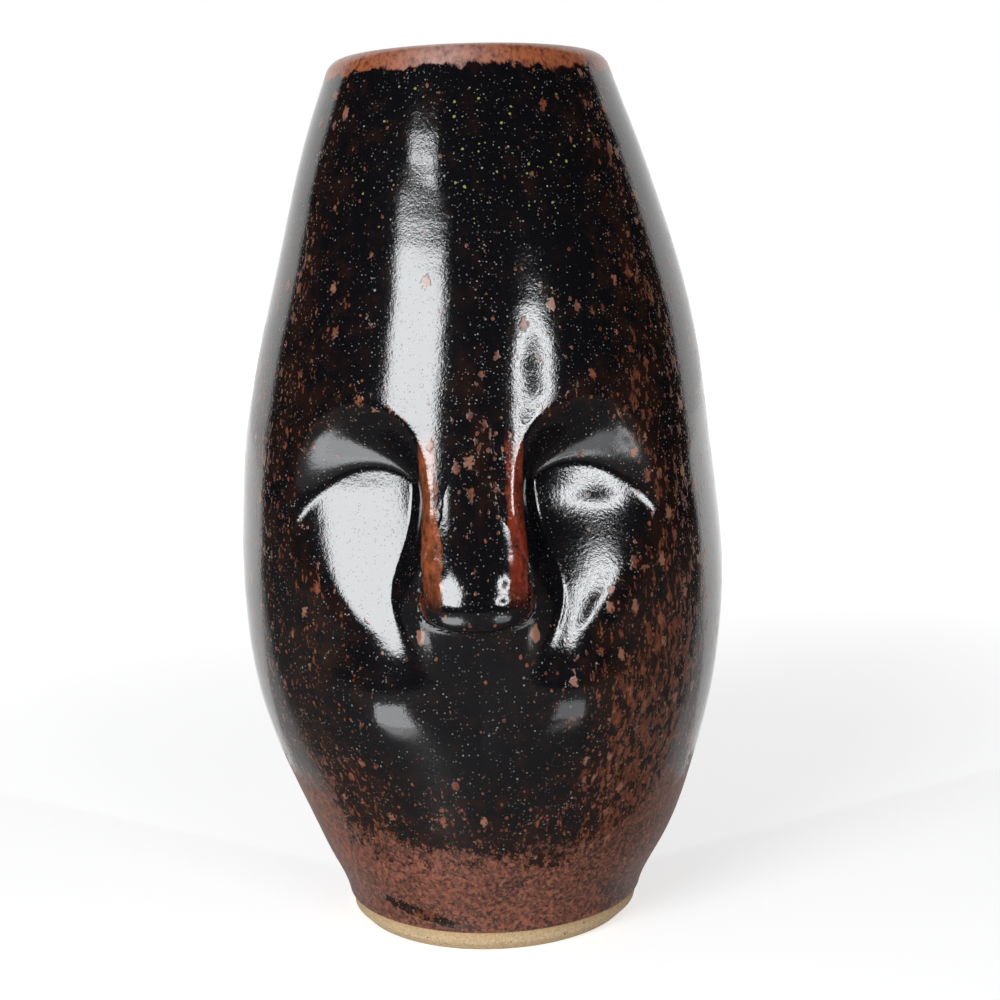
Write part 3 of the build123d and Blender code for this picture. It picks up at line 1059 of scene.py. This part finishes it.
def clay_material(colours, form):
    """Bare grogged stoneware with a warm flush at the glaze's edge."""
    material, tree, shader = new_material("bare_stoneware")
    z = place_axis(tree, "Z")
    mottled = noise(tree, 0.9, detail=4.0, roughness=0.75)
    grog, grog_tint = scatter(tree, 1.7, 0.34, (0.10, 0.26), wobble=0.6, wobble_size=0.6)
    sand, sand_tint = scatter(tree, 0.6, 0.55, (0.18, 0.42), soft=0.1)
    flush = z.rise(form.bare_foot * MILLIMETRES - 2.2, form.bare_foot * MILLIMETRES + 0.4)
    base = mix_colour(tree, mottled.rise(0.35, 0.65) * 0.6, colours.clay, [c * 0.5 for c in colours.clay])
    base = mix_colour(tree, flush * 0.5, base, colours.clay_flush)
    base = mix_colour(tree, sand * (sand_tint * 0.7), base, colours.grog)
    base = mix_colour(tree, grog * (0.4 + grog_tint * 0.6), base, colours.grog)
    tree.links.new(base, shader.inputs["Base Color"])
    shader.inputs["Roughness"].default_value = 0.82
    height = mottled * 0.7 + sand * 0.4 - grog * 0.3
    tree.links.new(bump(tree, height, 0.0002), shader.inputs["Normal"])
    return material


def liner_material(colours, form):
    """Dark brown glaze inside, which breaks to rust towards the lip."""
    material, tree, shader = new_material("dark_liner_glaze")
    z = place_axis(tree, "Z")
    mottled = noise(tree, 2.6, stretch=0.5, detail=3.0, roughness=0.6)
    lip = (z - form.height * MILLIMETRES + 4.0 + (mottled - 0.5) * 6.0).rise(-0.6, 0.8)
    base = mix_colour(tree, mottled.rise(0.4, 0.7), colours.glaze_black, colours.liner)
    base = mix_colour(tree, lip, base, colours.rim)
    tree.links.new(base, shader.inputs["Base Color"])
    link(tree, shader.inputs["Roughness"], 0.14 + lip * 0.2)
    shader.inputs["IOR"].default_value = 1.65
    tree.links.new(bump(tree, mottled, 0.00006), shader.inputs["Normal"])
    return material


def plain_material(name, tint, roughness):
    """A plain matt finish for the stage."""
    material, _, shader = new_material(name)
    shader.inputs["Base Color"].default_value = (*tint, 1.0)
    shader.inputs["Roughness"].default_value = roughness
    return material


def finish_named(name, make):
    """The material of that name, made the first time that it is asked for."""
    found = bpy.data.materials.get(name)
    return found or make(bpy.context.scene.vase_colours, bpy.context.scene.vase_form)


# Operators

class VASE_OT_clay(bpy.types.Operator):
    """Throw the clay body, with the face pressed in and the foot turned"""

    bl_idname = "vase.clay"
    bl_label = "Throw Clay Body"

    def execute(self, context):
        clay = finish_named("bare_stoneware", clay_material)
        body = throw_piece("clay_body", clay_section, clay)
        ride_and_slot(body, "stoneware", "stoneware_body")
        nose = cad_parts["nose"]
        nose.data.materials.clear()
        nose.data.materials.append(clay)
        return {"FINISHED"}


class VASE_OT_glaze(bpy.types.Operator):
    """Glaze the outside and the nose"""

    bl_idname = "vase.glaze"
    bl_label = "Glaze Outside"

    def execute(self, context):
        scene = context.scene
        dark = finish_named("dark_iron_glaze", dark_glaze_material)
        skin = throw_piece("glaze_skin", outer_glaze_section, dark)
        sizes = scene.vase_nose
        nose = nose_mesh(scene.vase_form, scene.vase_face, sizes)
        nose.materials.append(dark)
        pool_glaze(skin.data, nose, sizes, nose_sizes(scene.vase_face, sizes))
        join_pieces(skin, add_object("nose_glaze", nose))
        ride_and_slot(skin, "dark_glaze", "outer_glaze")
        return {"FINISHED"}


class VASE_OT_liner(bpy.types.Operator):
    """Glaze the inside"""

    bl_idname = "vase.liner"
    bl_label = "Glaze Inside"

    def execute(self, context):
        liner = throw_piece("liner_skin", liner_section, finish_named("dark_liner_glaze", liner_material))
        ride_and_slot(liner, "liner_glaze", "liner_glaze")
        return {"FINISHED"}


def camera_turn(studio):
    """The camera's right, up and back directions, before it orbits."""
    pitch, roll, yaw = (math.radians(angle) for angle in (studio.pitch, studio.roll, studio.yaw))
    right = Vector((math.cos(yaw), -math.sin(yaw), 0.0))
    ahead = Vector((math.cos(pitch) * math.sin(yaw), math.cos(pitch) * math.cos(yaw), -math.sin(pitch)))
    up = Vector((math.sin(pitch) * math.sin(yaw), math.sin(pitch) * math.cos(yaw), math.cos(pitch)))
    rolled_right = right * math.cos(roll) + up * math.sin(roll)
    rolled_up = up * math.cos(roll) - right * math.sin(roll)
    return Matrix((rolled_right, rolled_up, -ahead)).transposed()


def add_object(name, data):
    """A new object in the scene."""
    piece = bpy.data.objects.new(name, data)
    bpy.context.scene.collection.objects.link(piece)
    return piece


def add_camera(studio):
    """The camera at the photograph's viewing angle."""
    camera = add_object("camera", bpy.data.cameras.new("camera"))
    camera.data.sensor_width = 36.0
    camera.data.lens = studio.focal_px / PICTURE_WIDTH * camera.data.sensor_width
    orbit = Matrix.Rotation(math.radians(studio.orbit), 3, "Z")
    place = orbit @ Vector((studio.camera_shift, -studio.camera_distance, studio.camera_height))
    camera.matrix_world = Matrix.Translation(place) @ (orbit @ camera_turn(studio)).to_4x4()
    bpy.context.scene.camera = camera


def direction(azimuth, elevation):
    """Unit vector from the vase; azimuth 0 is towards the camera's side, and positive to the right."""
    a, e = math.radians(azimuth), math.radians(elevation)
    return Vector((math.sin(a) * math.cos(e), -math.cos(a) * math.cos(e), math.sin(e)))


AIM = Vector((0.0, 0.0, 0.12))


def glowing_panel(name, azimuth, elevation, distance, points, faces, radiance):
    """A flat emitter that faces the vase; its points are in its own plane, right and up."""
    out = direction(azimuth, elevation)
    right = Vector((math.cos(math.radians(azimuth)), math.sin(math.radians(azimuth)), 0.0))
    up = out.cross(right)
    mesh = bpy.data.meshes.new(name)
    centre = AIM + out * distance
    mesh.from_pydata([centre + right * x + up * y for x, y in points], [], faces)
    material, _, shader = new_material(name)
    shader.inputs["Base Color"].default_value = (0.0, 0.0, 0.0, 1.0)
    shader.inputs["Emission Color"].default_value = (0.96, 0.98, 1.0, 1.0)
    shader.inputs["Emission Strength"].default_value = radiance
    mesh.materials.append(material)
    panel = add_object(name, mesh)
    panel.visible_camera = False
    panel.visible_shadow = False


def window_light(name, azimuth, elevation, width, height, radiance, distance=LAMP_DISTANCE):
    """A rectangular soft light or a glowing card; width and height are in degrees."""
    x = distance * math.tan(math.radians(width / 2))
    y = distance * math.tan(math.radians(height / 2))
    corners = [(-x, -y), (x, -y), (x, y), (-x, y)]
    glowing_panel(name, azimuth, elevation, distance, corners, [(0, 1, 2, 3)], radiance)


def ring_light(name, azimuth, elevation, outer, inner, radiance):
    """A ring light; outer and inner are its diameters in degrees."""
    points = []
    for size in (outer, inner):
        radius = LAMP_DISTANCE * math.tan(math.radians(size / 2))
        for i in range(RING_POINTS):
            turn = math.tau * i / RING_POINTS
            points.append((radius * math.cos(turn), radius * math.sin(turn)))
    faces = []
    for i in range(RING_POINTS):
        j = (i + 1) % RING_POINTS
        faces.append((i, j, RING_POINTS + j, RING_POINTS + i))
    glowing_panel(name, azimuth, elevation, LAMP_DISTANCE, points, faces, radiance)


def arc_row(shape, radius, z):
    """Points of a mesh on an arc round the front, up to where the pale backdrop starts on both sides."""
    row = []
    for i in range(SHEET_STEPS + 1):
        spot = direction(-SHEET_OPENING + 2 * SHEET_OPENING * i / SHEET_STEPS, 0.0) * radius
        row.append(shape.verts.new((spot.x, spot.y, z)))
    return row


def reflected_sheet(name, low_arc, high_arc, finish, covered=False):
    """A sheet between two arcs, each a radius and a height, which only reflections see. A covered sheet
    is closed over its upper arc."""
    shape = bmesh.new()
    low = arc_row(shape, *low_arc)
    high = arc_row(shape, *high_arc)
    for i in range(SHEET_STEPS):
        shape.faces.new((low[i], low[i + 1], high[i + 1], high[i]))
    if covered:
        shape.faces.new(high)
    mesh = bpy.data.meshes.new(name)
    shape.to_mesh(mesh)
    shape.free()
    mesh.materials.append(finish)
    piece = add_object(name, mesh)
    piece.visible_camera = False
    piece.visible_diffuse = False
    piece.visible_shadow = False
    piece.visible_transmission = False
    piece.visible_volume_scatter = False


def dark_surround():
    """Dark flags round and over the front."""
    cloth = plain_material("flag_cloth", (0.006, 0.006, 0.007), 0.9)
    low, high = (SHEET_RADIUS, SURROUND_LOW), (SHEET_RADIUS, SURROUND_HIGH)
    reflected_sheet("dark_surround", low, high, cloth, covered=True)


def dark_table():
    """The dim table as the glaze sees it, from just outside the foot."""
    shade = plain_material("table_shade", (0.25, 0.23, 0.215), 0.2)
    shade.node_tree.nodes["Principled BSDF"].inputs["IOR"].default_value = 5.0
    reflected_sheet("dark_table", (TABLE_INNER, TABLE_HEIGHT), (SHEET_RADIUS, TABLE_HEIGHT), shade)


def seen_directly(tree):
    """1 for rays that see the background itself, in the open or through a reflection or glass."""
    path = tree.nodes.new("ShaderNodeLightPath")
    camera, glossy, through = (
        Field(tree, path.outputs[name]) for name in ("Is Camera Ray", "Is Glossy Ray", "Is Transmission Ray")
    )
    return camera.math("MAXIMUM", glossy).math("MAXIMUM", through)


def pale_world(studio):
    """A white background that lights matt surfaces gently."""
    world = bpy.data.worlds.new("pale_world")
    bpy.context.scene.world = world
    world.use_nodes = True
    tree = world.node_tree
    background = tree.nodes["Background"]
    background.inputs["Color"].default_value = (1.0, 1.0, 1.0, 1.0)
    direct = seen_directly(tree)
    link(tree, background.inputs["Strength"], direct + (1.0 - direct) * studio.ambient)


def pale_floor():
    """A pale table that runs out to the background."""
    corners = [(x * FLOOR_REACH, y * FLOOR_REACH, 0) for x, y in ((-1, -1), (1, -1), (1, 1), (-1, 1))]
    mesh = bpy.data.meshes.new("floor")
    mesh.from_pydata(corners, [], [(0, 1, 2, 3)])
    material, tree, shader = new_material("pale_table")
    shader.inputs["Base Color"].default_value = (0.80, 0.80, 0.80, 1.0)
    shader.inputs["Roughness"].default_value = 0.6
    place = object_place(tree, stretch=0.0, scale=1.0)
    out = node_with(tree, "ShaderNodeVectorMath", {"operation": "LENGTH"}, Vector=place)
    far = Field(tree, out.outputs["Value"]).rise(0.15, 0.9)
    glow = seen_directly(tree) * (FLOOR_GLOW + FLOOR_GLOW_GAIN * far)
    link(tree, shader.inputs["Emission Strength"], glow)
    shader.inputs["Emission Color"].default_value = (1.0, 1.0, 1.0, 1.0)
    mesh.materials.append(material)
    add_object("floor", mesh)


class VASE_OT_studio(bpy.types.Operator):
    """Set the camera, the lamps, the pale table and the background"""

    bl_idname = "vase.studio"
    bl_label = "Set Studio"

    def execute(self, context):
        studio = context.scene.vase_studio
        add_camera(studio)
        pale_world(studio)
        pale_floor()
        window_light("window_light", *WINDOW, studio.window)
        window_light("window_top", *WINDOW_TOP, studio.window)
        ring_light("ring_light", *RING, studio.ring)
        window_light("left_card", *LEFT_CARD, studio.card, CARD_DISTANCE)
        window_light("right_card", *RIGHT_CARD, studio.card * RIGHT_CARD_SHARE, CARD_DISTANCE)
        dark_surround()
        dark_table()
        context.scene.view_settings.view_transform = "Standard"
        return {"FINISHED"}


class VASE_PT_panel(bpy.types.Panel):
    """The vase's sizes, colours and steps"""

    bl_label = "Face Vase"
    bl_space_type = "VIEW_3D"
    bl_region_type = "UI"
    bl_category = "Face Vase"

    def draw(self, context):
        layout = self.layout
        scene = context.scene
        for name in GROUPS:
            group = getattr(scene, name)
            box = layout.box()
            for key in group.bl_rna.properties.keys():
                if key not in ("rna_type", "name"):
                    box.prop(group, key)
        for step in STEPS:
            layout.operator(step.bl_idname)


STEPS = (VASE_OT_studio, VASE_OT_clay, VASE_OT_glaze, VASE_OT_liner)
GROUPS = {
    "vase_form": ThrownForm,
    "vase_face": PressedFace,
    "vase_nose": WedgeNose,
    "vase_colours": KilnColours,
    "vase_studio": PhotoStudio,
}


def register():
    for group in GROUPS.values():
        bpy.utils.register_class(group)
    for step in STEPS:
        bpy.utils.register_class(step)
    bpy.utils.register_class(VASE_PT_panel)
    for name, group in GROUPS.items():
        setattr(bpy.types.Scene, name, bpy.props.PointerProperty(type=group))


def unregister():
    for name in GROUPS:
        delattr(bpy.types.Scene, name)
    bpy.utils.unregister_class(VASE_PT_panel)
    for step in reversed(STEPS):
        bpy.utils.unregister_class(step)
    for group in reversed(list(GROUPS.values())):
        bpy.utils.unregister_class(group)


def main():
    register()
    bpy.ops.vase.studio()
    bpy.ops.vase.clay()
    bpy.ops.vase.glaze()
    bpy.ops.vase.liner()


if __name__ == "__main__":
    main()
